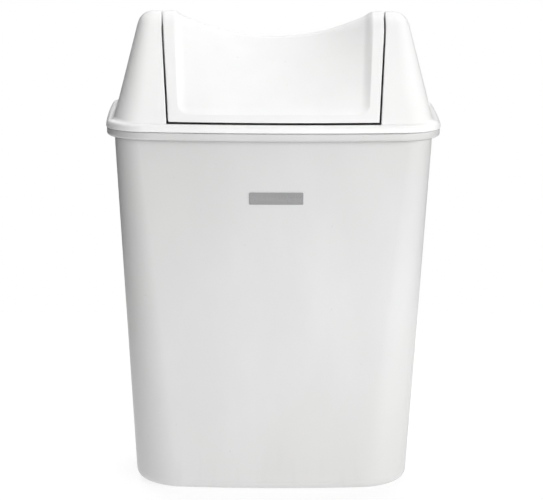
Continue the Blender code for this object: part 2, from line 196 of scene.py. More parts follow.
# Camera: its distance in front of the bin and height over the floor, then its turns in radians. Yaw
# moves it round the bin, aim turns it on the spot. The lens is in mm, on a sensor 36 mm wide.
CAMERA_DISTANCE = 1.926
CAMERA_Z = 0.551
CAMERA_YAW = 0.0105
CAMERA_AIM = 0.00023
CAMERA_PITCH = 0.1979
CAMERA_ROLL = 0.0058
CAMERA_LENS = 177.95
CAMERA_SENSOR = 36.0

# Soft lamps far away: name, azimuth and elevation in degrees, apparent size in degrees, strength
LAMPS = (
    ("key", 20, 12, 60, 2.45),
    ("right", 70, 10, 60, 1.18),
    ("top_left", -60, 75, 60, 0.80),
    ("rear", 180, 50, 70, 1.90),
)

# Floor: half its width, how far it lies under the feet, its grey, its glow and its gloss
FLOOR_REACH = 0.52
FLOOR_DROP = 0.0002
FLOOR_GREY = 0.30
FLOOR_GLOW = 0.75
FLOOR_ROUGHNESS = 0.9
FLOOR_SPECULAR = 0.1


def mix(low, high, share):
    return low + (high - low) * share


def soft_min(a, b, width):
    """The smaller of two lengths, blended smoothly where they are within width of each other."""
    near = max(width - abs(a - b), 0.0) / width
    return min(a, b) - 0.25 * width * near * near


def soft_ramp(value, width):
    """The value where it is positive and 0 where it is negative, blended over a width each way."""
    if abs(value) < width:
        return (value + width) ** 2 / (4.0 * width)
    return max(value, 0.0)


def edge_drop(inside, radius):
    """How far a surface falls away at a rounded edge, at a distance inside that edge."""
    if inside >= radius:
        return 0.0
    return radius - math.sqrt(max(radius * radius - (radius - inside) ** 2, 0.0))


# ---------------------------------------------------------------- meshes


def make_piece(name, points, faces, body, stands_for):
    """One piece of the bin, in place in the row frame, riding on its body."""
    mesh = bpy.data.meshes.new(name)
    mesh.from_pydata([Vector(point) for point in points], [], faces)
    model = bmesh.new()
    model.from_mesh(mesh)
    bmesh.ops.remove_doubles(model, verts=model.verts, dist=WELD)
    bmesh.ops.dissolve_degenerate(model, edges=model.edges, dist=WELD)
    bmesh.ops.recalc_face_normals(model, faces=model.faces)
    model.to_mesh(mesh)
    model.free()
    piece = bpy.data.objects.new(name, mesh)
    bpy.context.scene.collection.objects.link(piece)
    if body:
        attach(piece, body)
        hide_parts(stands_for)
    return piece


def merge(piece, tools):
    """Joins or cuts a piece with its tools, each given as (operation, object), for good."""
    for operation, tool in tools:
        step = piece.modifiers.new(tool.name, "BOOLEAN")
        step.operation = operation
        step.solver = "EXACT"
        step.object = tool
    bpy.context.view_layer.update()
    depsgraph = bpy.context.evaluated_depsgraph_get()
    merged = bpy.data.meshes.new_from_object(piece.evaluated_get(depsgraph), depsgraph=depsgraph)
    piece.modifiers.clear()
    piece.data = merged
    for _, tool in tools:
        bpy.data.objects.remove(tool, do_unlink=True)
    model = bmesh.new()
    model.from_mesh(merged)
    bmesh.ops.dissolve_degenerate(model, edges=model.edges, dist=2.0 * WELD)
    model.to_mesh(merged)
    model.free()


def finish_surface(piece, material):
    """Smooth shading with weighted normals, so that flat faces stay flat beside small rounds."""
    piece.data.shade_smooth()
    piece.data.set_sharp_from_angle(angle=SHARP_ANGLE)
    piece.data.materials.clear()
    piece.data.materials.append(material)
    normals = piece.modifiers.new("weighted_normals", "WEIGHTED_NORMAL")
    normals.keep_sharp = True


def loft_faces(rings, count, closed):
    """Quads between neighbouring rings of count points, and end caps unless closed in a loop."""
    faces = []
    for ring in range(rings if closed else rings - 1):
        low, high = ring * count, (ring + 1) % rings * count
        for step in range(count):
            after = (step + 1) % count
            faces.append((low + step, low + after, high + after, high + step))
    if not closed:
        faces.append(tuple(reversed(range(count))))
        faces.append(tuple(range((rings - 1) * count, rings * count)))
    return faces


def solid_between(outer, inner, faces):
    """Closes two matching skins of one sheet into a solid along the sheet's open edges."""
    count = len(outer)
    edges = {(face[i - 1], face[i]) for face in faces for i in range(len(face))}
    rim = [(b, a, a + count, b + count) for a, b in sorted(edges) if (b, a) not in edges]
    inner_faces = [tuple(count + index for index in reversed(face)) for face in faces]
    return outer + inner, faces + inner_faces + rim


def rounded_line(corners, closed=False):
    """A line through (u, v, radius) corners, with an arc at each corner that has a radius."""
    points = []
    last = len(corners) - 1
    for at, (u, v, radius) in enumerate(corners):
        corner = Vector((u, v))
        if radius == 0.0 or (not closed and at in (0, last)):
            points.append(corner)
            continue
        back = (Vector(corners[at - 1][:2]) - corner).normalized()
        ahead = (Vector(corners[(at + 1) % len(corners)][:2]) - corner).normalized()
        half_angle = 0.5 * back.angle(ahead)
        centre = corner + (back + ahead).normalized() * radius / math.sin(half_angle)
        start = corner + back * radius / math.tan(half_angle) - centre
        turn = start.angle_signed(corner + ahead * radius / math.tan(half_angle) - centre)
        for step in range(ROUND_STEPS + 1):
            points.append(centre + Matrix.Rotation(-turn * step / ROUND_STEPS, 2) @ start)
    return points


def split_long(points, longest, closed=False):
    """The same line with extra points, so that no step is longer than longest."""
    fine = []
    ends = points[1:] + points[:1] if closed else points[1:]
    for start, end in zip(points, ends):
        count = max(1, math.ceil((end - start).length / longest))
        fine += [start.lerp(end, step / count) for step in range(count)]
    return fine if closed else fine + [points[-1]]


# ---------------------------------------------------------------- plans


def full_plan(half_x, half_y, corner, bulge):
    """Closed plan of a rounded rectangle with bulged sides, counter-clockwise from its front."""
    corner = max(corner, LEAST_CORNER)
    straight_x, straight_y = half_x - corner, half_y - corner
    points = []
    for step in range(FRONT_STEPS):
        points.append((straight_x * step / FRONT_STEPS, -half_y))
    for step in range(CORNER_STEPS + 1):
        turn = 0.5 * math.pi * step / CORNER_STEPS
        points.append((straight_x + corner * math.sin(turn), -straight_y - corner * math.cos(turn)))
    for step in range(1, SIDE_STEPS + 1):
        points.append((half_x, -straight_y * (1.0 - step / SIDE_STEPS)))
    quarter = [
        (x * (1.0 - SIDE_BULGE / half_x * (y / half_y) ** 2),
         y * (1.0 - bulge / half_y * (x / half_x) ** 2))
        for x, y in points
    ]
    right = quarter + [(x, -y) for x, y in reversed(quarter[:-1])]
    return right + [(-x, y) for x, y in reversed(right[1:-1])]


def tub_corner(wall_corner, inset):
    """Corner radius of a plan of the tub; the rim's corners are rounder than the wall's."""
    lip = LIP_WALL - RIM_OVERHANG
    if inset < lip:
        return RIM_CORNER - RIM_OVERHANG - inset
    if inset < 0.0:
        return mix(wall_corner, RIM_CORNER - LIP_WALL, inset / lip)
    return wall_corner - inset


def tub_plan(z, inset):
    """Plan of the tub's outer wall at a height, moved inwards by inset, or outwards to its rim."""
    share = min(z, NECK_Z) / NECK_Z
    half_x, half_y, corner, bulge = (mix(a, b, share) for a, b in zip(BASE_PLAN, NECK_PLAN))
    return full_plan(half_x - inset, half_y - inset, tub_corner(corner, inset), bulge)


def rim_plan(inset):
    """Plan of the hood's ring over the tub's rim, moved inwards by inset from the rim's edge."""
    half_x, half_y, _, bulge = NECK_PLAN
    out = RIM_OVERHANG - inset
    return full_plan(half_x + out, half_y + out, FLANGE_CORNER - inset, bulge)


# ---------------------------------------------------------------- tub


def tub_section():
    """The tub's section as (inset, z), from under the floor round the lip to the floor inside."""
    lip_inner, lip_outer = LIP_WALL - RIM_OVERHANG, -RIM_OVERHANG
    ledge = RIM_TOP_Z - TUB_WALL
    step_in = FOOT_INNER + 0.4 * TUB_FLOOR
    return rounded_line([
        (FOOT_INNER + 2.0 * FLOOR_RISE, FLOOR_RISE, 0.0),
        (FOOT_INNER + FLOOR_RISE, FLOOR_RISE, RISE_ROUND),
        (FOOT_INNER, 0.0, FOOT_ROUND),
        (0.0, 0.0, BASE_FILLET),
        (0.0, ledge, LEDGE_ROUND),
        (lip_inner, ledge, LIP_INNER_ROUND),
        (lip_inner, NECK_Z, LIP_EDGE_ROUND),
        (lip_outer, NECK_Z, LIP_ROUND),
        (lip_outer, RIM_TOP_Z, RIM_ROUND),
        (TUB_WALL, RIM_TOP_Z, MOUTH_ROUND),
        (TUB_WALL, TUB_FLOOR, BASE_FILLET - TUB_WALL),
        (step_in, TUB_FLOOR, RISE_ROUND),
        (step_in + FLOOR_RISE, TUB_FLOOR + FLOOR_RISE, RISE_ROUND),
        (step_in + 2.0 * FLOOR_RISE, TUB_FLOOR + FLOOR_RISE, 0.0),
    ])


def make_tub(material):
    """The tapered tub with its rim, hanging lip and foot ring, hollow inside."""
    points = []
    section = split_long(tub_section(), LONGEST_STEP)
    for inset, z in section:
        plan = tub_plan(z, inset)
        points += [(x, y, z) for x, y in plan]
    faces = loft_faces(len(section), len(plan), closed=False)
    tub = make_piece("tub_shell", points, faces, "tub", "waste_tub")
    finish_surface(tub, material)


def tub_front_y(x, z):
    """Y of the tub's front wall."""
    share = z / NECK_Z
    half_x, half_y, _, bulge = (mix(a, b, share) for a, b in zip(BASE_PLAN, NECK_PLAN))
    return -half_y + bulge * (x / half_x) ** 2


# ---------------------------------------------------------------- roof shared by hood and flap


def foot_y(x):
    """Half depth of the roof at its foot, which bulges as the rim does."""
    return FLAP_FOOT_Y - NECK_PLAN[3] * (x / NECK_PLAN[0]) ** 2


def face_slope(foot, apex_z, radius):
    """Slope of the straight face from its foot (half depth, z) up to a round crest."""
    rise = apex_z - radius - foot[1]
    reach = math.hypot(foot[0], rise)
    return math.atan2(rise, foot[0]) + math.asin(radius / reach)


def half_depth(x, z, skin):
    """Half depth of the roof at a width and height, or of the surface skin under it."""
    slope = face_slope((foot_y(x), FLAP_FOOT_Z), HOOD_TOP_Z, ROOF_RADIUS)
    radius, up = ROOF_RADIUS - skin, z - PIVOT_Z
    if up < radius * math.cos(slope):
        return (radius - up * math.cos(slope)) / math.sin(slope)
    return math.sqrt(max(radius * radius - up * up, 0.0))


def roof_depth(y, z):
    """How deep a point of the hood's inner wall lies under the roof."""
    slope = face_slope((foot_y(FLAP_END_X), FLAP_FOOT_Z), HOOD_TOP_Z, ROOF_RADIUS)
    up = z - PIVOT_Z
    if math.atan2(abs(y), up) < slope:
        return ROOF_RADIUS - math.hypot(y, up)
    return ROOF_RADIUS - abs(y) * math.sin(slope) - up * math.cos(slope)


def arch_point(foot, apex_z, radius, skin, share):
    """Point (y, z) on the front half of an arch: straight from its foot, then round to its crest."""
    slope = face_slope(foot, apex_z, radius)
    inner = radius - skin
    centre_z = apex_z - radius
    tangent = (-inner * math.sin(slope), centre_z + inner * math.cos(slope))
    if share < STRAIGHT_SHARE:
        left = (1.0 - share / STRAIGHT_SHARE) * (tangent[1] - foot[1])
        return tangent[0] - left / math.tan(slope), tangent[1] - left
    turn = slope * (1.0 - (share - STRAIGHT_SHARE) / (1.0 - STRAIGHT_SHARE))
    return -inner * math.sin(turn), centre_z + inner * math.cos(turn)


def cone_x(y, z, skin):
    """Half width of the flap's turned end, or of a surface skin outside it."""
    beyond = max(y * y + (z - PIVOT_Z) ** 2 - ROOF_RADIUS ** 2, 0.0)
    return FLAP_END_X + skin - END_CONE * (math.sqrt(beyond + END_EASE ** 2) - END_EASE)


# ---------------------------------------------------------------- hood


def flange_section():
    """Section of the hood's ring as (inset from the rim's edge, z): flange, ledge and skirt."""
    skirt_outer = RIM_OVERHANG + TUB_WALL + SKIRT_GAP
    skirt_inner = skirt_outer + SKIRT_WALL
    taper = SKIRT_DEPTH * (NECK_PLAN[0] - BASE_PLAN[0]) / NECK_Z
    return rounded_line([
        (-FLANGE_OVERHANG, SEAT_Z, FLANGE_CHAMFER),
        (-FLANGE_OVERHANG, FLANGE_TOP_Z, FLANGE_ROUND),
        (LEDGE_INNER, FLANGE_TOP_Z, EDGE_ROUND),
        (skirt_inner, SEAT_Z + RING_STEP, RING_STEP),
        (skirt_inner + taper, SEAT_Z - SKIRT_DEPTH, SKIRT_ROUND),
        (skirt_outer + taper, SEAT_Z - SKIRT_DEPTH, SKIRT_ROUND),
        (skirt_outer, SEAT_Z, RING_STEP),
    ], closed=True)


def cheek_half_width(z, skin):
    """Half width of the hood over its leaning cheeks, rounded off at the crest."""
    top_x = CHEEK_FOOT_X - (HOOD_TOP_Z - FLANGE_TOP_Z) * math.tan(CHEEK_LEAN)
    centre_z = HOOD_TOP_Z - CHEEK_TOP_ROUND
    centre_x = top_x + CHEEK_TOP_ROUND * (math.tan(CHEEK_LEAN) - 1.0 / math.cos(CHEEK_LEAN))
    radius = CHEEK_TOP_ROUND - skin
    up = z - centre_z
    if up < radius * math.sin(CHEEK_LEAN):
        return centre_x + radius / math.cos(CHEEK_LEAN) - up * math.tan(CHEEK_LEAN)
    return centre_x + math.sqrt(max(radius * radius - up * up, 0.0))


def foot_flare(z, radius):
    """How far the cheek's foot flares out to the ledge, on a fillet that stops short of level."""
    height = z - FLANGE_TOP_Z
    least = radius * (1.0 - math.sin(STEEPEST_FLARE))
    if height < least:
        below = least - max(height, -FLARE_SINK)
        return radius * (1.0 - math.cos(STEEPEST_FLARE)) + below * math.tan(STEEPEST_FLARE)
    return edge_drop(height, radius)


def cheek_section(z, skin):
    """Closed plan of the right cheek at a height: front strip, outer side, rear strip, inner wall."""
    foot_z = SEAT_Z + CHEEK_SINK
    round_off = EDGE_ROUND if skin == 0.0 else 0.0
    edge_y = half_depth(FLAP_END_X, z, skin)
    edge_x = cone_x(edge_y, z, FLAP_GAP + skin) + round_off
    half_x = cheek_half_width(z, skin)
    corner = mix(*CHEEK_CORNERS, (z - foot_z) / (HOOD_TOP_Z - foot_z)) - skin
    largest = CORNER_OF_DEPTH * edge_y
    corner = min(soft_min(corner, largest, CORNER_BLEND), largest, CORNER_OF_WIDTH * (half_x - edge_x))
    straight_x = half_x - corner
    start_turn = math.atan((edge_y - half_depth(straight_x, z, skin)) / (straight_x - edge_x))
    straight_x += corner * math.sin(start_turn)
    front = []
    for step in range(FRONT_STEPS // 2):
        x = mix(edge_x, straight_x, 2 * step / FRONT_STEPS)
        front.append((x, -half_depth(x, z, skin), start_turn))
    centre_y = corner * math.cos(start_turn) - half_depth(straight_x, z, skin)
    for step in range(CORNER_STEPS + 1):
        turn = mix(start_turn, 0.5 * math.pi, step / CORNER_STEPS)
        x = half_x - corner * (1.0 - math.sin(turn))
        front.append((x, centre_y - corner * math.cos(turn), turn))
    for step in range(1, SIDE_STEPS + 1):
        front.append((half_x, centre_y * (1.0 - step / SIDE_STEPS), 0.5 * math.pi))
    outline = []
    for x, y, turn in front:
        flare = 0.0
        if skin == 0.0:
            flare = foot_flare(z, mix(*CHEEK_FILLETS, math.sin(turn) ** 2))
        outline.append((x + flare * math.sin(turn), y - flare * math.cos(turn)))
    outline += [(x, -y) for x, y in reversed(outline[:-1])]
    rear = []
    for step in range(1, ROUND_STEPS + 1):
        depth = EDGE_ROUND * (1.0 - math.cos(0.5 * math.pi * step / ROUND_STEPS))
        rear.append(half_depth(FLAP_END_X, z, skin + depth))
    across = [rear[-1] * (1.0 - 2.0 * step / SIDE_STEPS) for step in range(1, SIDE_STEPS)]
    for y in rear + across + [-y for y in reversed(rear)]:
        x = cone_x(y, z, FLAP_GAP + skin)
        if skin == 0.0:
            x += edge_drop(roof_depth(y, z), EDGE_ROUND)
        outline.append((x, y))
    return [(x, y, z) for x, y in outline]


def cheek_levels(skin):
    """Heights of the cheek's sections: close together at the foot fillet and over the crest."""
    slope = face_slope((foot_y(FLAP_END_X), FLAP_FOOT_Z), HOOD_TOP_Z, ROOF_RADIUS)
    largest = CHEEK_FILLETS[1]
    levels = [SEAT_Z + CHEEK_SINK, FLANGE_TOP_Z - FLARE_SINK, FLANGE_TOP_Z]
    for turn in FILLET_TURNS:
        levels.append(FLANGE_TOP_Z + largest * (1.0 - math.sin(math.radians(turn))))
    tangent = PIVOT_Z + (ROOF_RADIUS - skin) * math.cos(slope)
    for step in range(1, LEVEL_STEPS):
        levels.append(mix(FLANGE_TOP_Z + largest, tangent, step / LEVEL_STEPS))
    for step in range(LEVEL_STEPS):
        turn = slope * (1.0 - step / (LEVEL_STEPS - CREST_LEFT))
        levels.append(PIVOT_Z + (ROOF_RADIUS - skin) * math.cos(turn))
    return levels


def make_cheek(side):
    """One hollow cheek, open at its bottom; side is 1 on the right and -1 on the left."""
    skins = []
    for skin in (0.0, HOOD_WALL):
        sections = [cheek_section(z, skin) for z in cheek_levels(skin)]
        skins.append([(side * x, y, z) for section in sections for x, y, z in section])
    faces = loft_faces(len(sections), len(sections[0]), closed=False)
    faces.pop(-2)
    points, faces = solid_between(*skins, faces)
    return make_piece(f"cheek_{side}", points, faces, None, None)


def turned(name, section, side=1):
    """A solid turned about the pivot axis from (x, radius) points."""
    points = []
    for x, radius in section:
        for step in range(TURN_STEPS):
            turn = 2.0 * math.pi * step / TURN_STEPS
            points.append((side * x, radius * math.cos(turn), PIVOT_Z + radius * math.sin(turn)))
    faces = loft_faces(len(section), TURN_STEPS, closed=False)
    return make_piece(name, points, faces, None, None)


def boss_section(start, end):
    """A round boss with a softened rim at its end."""
    return rounded_line([
        (start, BOSS_RADIUS, 0.0),
        (end, BOSS_RADIUS, BOSS_ROUND),
        (end, 0.5 * BOSS_RADIUS, 0.0),
    ])


def make_hood(material):
    """The hood: ring, two hollow cheeks and their bosses, drilled through for the pins."""
    points = []
    section = split_long(flange_section(), 0.5 * LONGEST_STEP, closed=True)
    for inset, z in section:
        plan = rim_plan(inset)
        points += [(x, y, z) for x, y in plan]
    faces = loft_faces(len(section), len(plan), closed=True)
    hood = make_piece("hood_shell", points, faces, "hood", "lid_hood")
    wall = cone_x(0.0, PIVOT_Z, FLAP_GAP)
    tools = []
    for side in (1, -1):
        tools.append(("UNION", make_cheek(side)))
        section = boss_section(wall + 0.3 * HOOD_WALL, wall + HOOD_WALL + HOOD_BOSS)
        tools.append(("UNION", turned(f"hood_boss_{side}", section, side)))
    reach = wall + HOOD_WALL + 2.0 * HOOD_BOSS
    drill = [(-reach, PIN_HOLE_RADIUS), (reach, PIN_HOLE_RADIUS)]
    tools.append(("DIFFERENCE", turned("hood_drill", drill)))
    merge(hood, tools)
    finish_surface(hood, material)


def make_pin(side, material):
    """A push-in pin: its head sits in the cheek's hollow, its shank carries the flap's end."""
    head = cone_x(0.0, PIVOT_Z, FLAP_GAP) + HOOD_WALL + HOOD_BOSS + PIN_HEAD_GAP
    tip = FLAP_END_X - FLAP_WALL - FLAP_BOSS
    section = rounded_line([
        (tip, 0.2 * PIN_RADIUS, 0.0),
        (tip, PIN_RADIUS - 0.6 * PIN_TIP, PIN_TIP_ROUND),
        (tip + PIN_TIP, PIN_RADIUS, PIN_TIP_ROUND),
        (head, PIN_RADIUS, PIN_CREASE),
        (head, PIN_HEAD_RADIUS, PIN_CREASE),
        (head + PIN_HEAD, PIN_HEAD_RADIUS, PIN_HEAD_ROUND),
        (head + PIN_HEAD, 0.5 * PIN_HEAD_RADIUS, PIN_CREASE),
        (head + 0.7 * PIN_HEAD, 0.4 * PIN_HEAD_RADIUS, 0.0),
    ])
    word = "right" if side > 0 else "left"
    pin = turned(f"pin_{word}", section, side)
    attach(pin, "hood")
    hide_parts(f"pivot_pin_{word}")
    finish_surface(pin, material)


# ---------------------------------------------------------------- flap


def recess_mask(x, y, z, along):
    """0 on the flap's border, 1 inside its scooped recess; along is the way up the face."""
    edge = RECESS_SHARE * cone_x(y, z, 0.0)
    from_side, from_foot = edge - abs(x), along - RECESS_FOOT
    if from_side < RECESS_CORNER and from_foot < RECESS_CORNER:
        inside = RECESS_CORNER - math.hypot(RECESS_CORNER - from_side, RECESS_CORNER - from_foot)
    else:
        inside = min(from_side, from_foot)
    share = min(soft_ramp(inside, RECESS_SOFT) / RECESS_WALL, 1.0)
    return 1.0 - (1.0 - share) ** RECESS_HOLLOW


def flap_point(column, share, skin):
    """Point on the flap's front half, at a share of its width and of the way to its crest."""
    foot = (foot_y(column * FLAP_END_X), FLAP_FOOT_Z)
    outer_y, outer_z = arch_point(foot, HOOD_TOP_Z, ROOF_RADIUS, 0.0, share)
    along = math.hypot(outer_y + foot[0], outer_z - foot[1])
    if skin == 0.0:
        from_end = (1.0 - abs(column)) * cone_x(outer_y, outer_z, 0.0)
        if max(from_end, along) < EDGE_ROUND:
            from_edge = EDGE_ROUND - math.hypot(EDGE_ROUND - from_end, EDGE_ROUND - along)
        else:
            from_edge = min(from_end, along)
        skin = edge_drop(max(from_edge, 0.0), EDGE_ROUND)
        inwards = 0.0
    else:
        inwards = skin
    y, z = arch_point(foot, HOOD_TOP_Z, ROOF_RADIUS, skin, share)
    x = column * cone_x(y, z, -inwards)
    mask = recess_mask(x, outer_y, outer_z, along)
    across = 1.0 - min(abs(x) / SADDLE_REACH, 1.0) ** 2
    drop = SADDLE_EDGE_DROP + SADDLE_DROP * across
    radius = mix(ROOF_RADIUS, SADDLE_RADIUS, across)
    slope = face_slope(foot, HOOD_TOP_Z, ROOF_RADIUS)
    deep = RECESS_STEP + RECESS_SCOOP * math.sin(math.pi * share)
    low_foot = (foot[0] - deep * math.sin(slope), foot[1])
    floor_y, floor_z = arch_point(low_foot, HOOD_TOP_Z - drop, radius, skin, share)
    return x, mix(y, floor_y, mask), mix(z, floor_z, mask)


def flap_columns():
    """Shares of the flap's half width: close together over the recess wall and the rounded end."""
    inside, over_wall, over_crease, border = COLUMN_STEPS
    crease = RECESS_SOFT / FLAP_END_X
    edge = EDGE_ROUND / FLAP_END_X
    wall = RECESS_SHARE - RECESS_WALL / FLAP_END_X - WALL_MARGIN
    columns = [wall * step / inside for step in range(inside)]
    columns += [mix(wall, RECESS_SHARE - crease, step / over_wall) for step in range(over_wall)]
    columns += [RECESS_SHARE + crease * step / over_crease for step in range(-over_crease, over_crease)]
    columns += [mix(RECESS_SHARE + crease, 1.0 - edge, step / border) for step in range(border)]
    for step in range(ROUND_STEPS + 1):
        turn = 0.5 * math.pi * step / ROUND_STEPS
        columns.append(1.0 - edge * (1.0 - math.sin(turn)))
    return columns


def flap_rows():
    """Shares of the way from the flap's foot to its crest."""
    border, over_crease, over_wall, up_face, over_crest = ROW_STEPS
    foot = (foot_y(0.0), FLAP_FOOT_Z)
    tangent = arch_point(foot, HOOD_TOP_Z, ROOF_RADIUS, 0.0, STRAIGHT_SHARE)
    length = math.hypot(tangent[0] + foot[0], tangent[1] - foot[1]) / STRAIGHT_SHARE
    rows = []
    for step in range(ROUND_STEPS):
        turn = 0.5 * math.pi * step / ROUND_STEPS
        rows.append(EDGE_ROUND / length * (1.0 - math.cos(turn)))
    low, high = (RECESS_FOOT - RECESS_SOFT) / length, (RECESS_FOOT + RECESS_SOFT) / length
    rows += [mix(EDGE_ROUND / length, low, step / border) for step in range(border)]
    rows += [mix(low, high, step / over_crease) for step in range(over_crease)]
    rows += [mix(high, SCOOP_SHARE, step / over_wall) for step in range(over_wall)]
    rows += [mix(SCOOP_SHARE, STRAIGHT_SHARE, step / up_face) for step in range(up_face)]
    rows += [mix(STRAIGHT_SHARE, 1.0, step / over_crest) for step in range(over_crest + 1)]
    return rows


def flap_sheet(columns, rows):
    """Names of the flap's points and the faces between them, shared by its two skins."""
    keys = {}

    def index(*key):
        return keys.setdefault(key, len(keys))

    across = [-u for u in reversed(columns[1:])] + list(columns)
    up_and_over = [(share, 1) for share in rows] + [(share, -1) for share in reversed(rows[:-1])]
    faces = []
    for left, right in zip(across, across[1:]):
        for low, high in zip(up_and_over, up_and_over[1:]):
            corners = ((left, low), (right, low), (right, high), (left, high))
            faces.append(tuple(index(u, *row, 0) for u, row in corners))
    for end in (-1.0, 1.0):
        for low, high in zip(rows, rows[1:]):
            for step in range(END_STEPS):
                around = [(low, step), (high, step), (high, step + 1), (low, step + 1)]
                face = [index(*end_key(end, share, at)) for share, at in around]
                face = [item for i, item in enumerate(face) if item != face[i - 1]]
                faces.append(tuple(reversed(face) if end > 0 else face))
    return keys, faces


def end_key(end, share, step):
    """Name of a point of the flap's end wall; its outer points are those of the roof."""
    if step in (0, END_STEPS) or share == 1.0:
        return end, share, 1 if step == 0 or share == 1.0 else -1, 0
    return end, share, 0, step


def flap_skin(keys, skin):
    """Points of the flap's outer skin, or of the skin inside it, in the order of their names."""
    points = []
    for column, share, face, step in keys:
        x, y, z = flap_point(column, share, skin)
        if face == 0:
            y *= 1.0 - 2.0 * step / END_STEPS
            x = column * cone_x(y, z, -skin)
        points.append((x, -y if face == -1 else y, z))
    return points


def make_flap(material):
    """The saddle-shaped flap: scooped front and rear, turned ends, open underneath."""
    keys, faces = flap_sheet(flap_columns(), flap_rows())
    points, faces = solid_between(flap_skin(keys, 0.0), flap_skin(keys, FLAP_WALL), faces)
    flap = make_piece("flap_shell", points, faces, "flap", "swing_flap")
    boss = boss_section(FLAP_END_X - 0.4 * FLAP_WALL, FLAP_END_X - FLAP_WALL - FLAP_BOSS)
    drill = [(FLAP_END_X + reach * FLAP_BOSS, PIN_HOLE_RADIUS) for reach in (-2.0, 1.0)]
    tools = [("UNION", turned(f"flap_boss_{side}", boss, side)) for side in (1, -1)]
    tools += [("DIFFERENCE", turned(f"flap_drill_{side}", drill, side)) for side in (1, -1)]
    merge(flap, tools)
    finish_surface(flap, material)


# ---------------------------------------------------------------- label


def make_label(material):
    """A blank plate bent to the tub's front wall, with rounded corners and a softened edge."""
    half_x, half_z = 0.5 * (LABEL_TOP.x - LABEL_LOW.x), 0.5 * (LABEL_TOP.z - LABEL_LOW.z)
    middle_x, middle_z = LABEL_LOW.x + half_x, LABEL_LOW.z + half_z
    section = ((0.0, LABEL_GAP), (0.0, LABEL_HEIGHT - LABEL_SOFT), (LABEL_SOFT, LABEL_HEIGHT))
    rings = []
    for inset, off in section:
        outline = rounded_line([
            (sx * (half_x - inset), sz * (half_z - inset), LABEL_CORNER - inset)
            for sx, sz in ((-1, -1), (1, -1), (1, 1), (-1, 1))
        ], closed=True)
        outline = split_long(outline, LABEL_STEP, closed=True)
        rings.append([(middle_x + u, middle_z + v, off) for u, v in outline])
    count = len(rings[0])
    points = [(x, tub_front_y(x, z) - off, z) for ring in rings for x, z, off in ring]
    faces = loft_faces(len(rings), count, closed=False)
    label = make_piece("label_blank", points, faces, "tub", "label_plate")
    finish_surface(label, material)


# ---------------------------------------------------------------- materials


class Nodes:
    """Short ways to add and join the nodes of one material."""

    def __init__(self, name):
        self.material = bpy.data.materials.new(name)
        self.material.use_nodes = True
        self.tree = self.material.node_tree
        self.shader = self.tree.nodes["Principled BSDF"]
        coordinates = self.tree.nodes.new("ShaderNodeTexCoord")
        self.place = coordinates.outputs["Object"]

    def join(self, start, end):
        self.tree.links.new(start, end)

    def noise(self, scale, detail=2.0, stretch=(1.0, 1.0, 1.0)):
        """Noise with scale cells in a metre, times stretch along each axis."""
        mapping = self.tree.nodes.new("ShaderNodeMapping")
        mapping.inputs["Scale"].default_value = stretch
        noise = self.tree.nodes.new("ShaderNodeTexNoise")
        noise.inputs["Scale"].default_value = scale
        noise.inputs["Detail"].default_value = detail
        self.join(self.place, mapping.inputs["Vector"])
        self.join(mapping.outputs["Vector"], noise.inputs["Vector"])
        return noise.outputs["Fac"]

    def remap(self, value, low, high, to_low, to_high):
        """A value between low and high brought to between to_low and to_high, and kept there."""
        node = self.tree.nodes.new("ShaderNodeMapRange")
        limits = {"From Min": low, "From Max": high, "To Min": to_low, "To Max": to_high}
        for name, number in limits.items():
            node.inputs[name].default_value = number
        self.join(value, node.inputs["Value"])
        return node.outputs["Result"]

    def blend(self, share, first, second):
        """A colour between two; each is a colour or another node's output."""
        node = self.tree.nodes.new("ShaderNodeMix")
        node.data_type = "RGBA"
        self.join(share, node.inputs["Factor"])
        for socket, colour in ((node.inputs[6], first), (node.inputs[7], second)):
            if isinstance(colour, tuple):
                socket.default_value = (*colour, 1.0)
            else:
                self.join(colour, socket)
        return node.outputs[2]

    def times(self, first, second):
        node = self.tree.nodes.new("ShaderNodeMath")
        node.operation = "MULTIPLY"
        self.join(first, node.inputs[0])
        self.join(second, node.inputs[1])
        return node.outputs[0]

    def height(self):
        """Height over the floor."""
        node = self.tree.nodes.new("ShaderNodeSeparateXYZ")
        self.join(self.place, node.inputs[0])
        return node.outputs["Z"]

    def bump(self, value, strength, distance, below=None):
        """Normals of a surface raised by up to a distance, over another bump if one is below."""
        node = self.tree.nodes.new("ShaderNodeBump")
        node.inputs["Strength"].default_value = strength
        node.inputs["Distance"].default_value = distance
        self.join(value, node.inputs["Height"])
        if below:
            self.join(below, node.inputs["Normal"])
        return node.outputs["Normal"]


def tinted(colour, red, green=None, blue=None):
    """A colour with its channels scaled, all alike unless each has a share of its own."""
    shares = (red, green or red, blue or red)
    return tuple(channel * share for channel, share in zip(colour, shares))


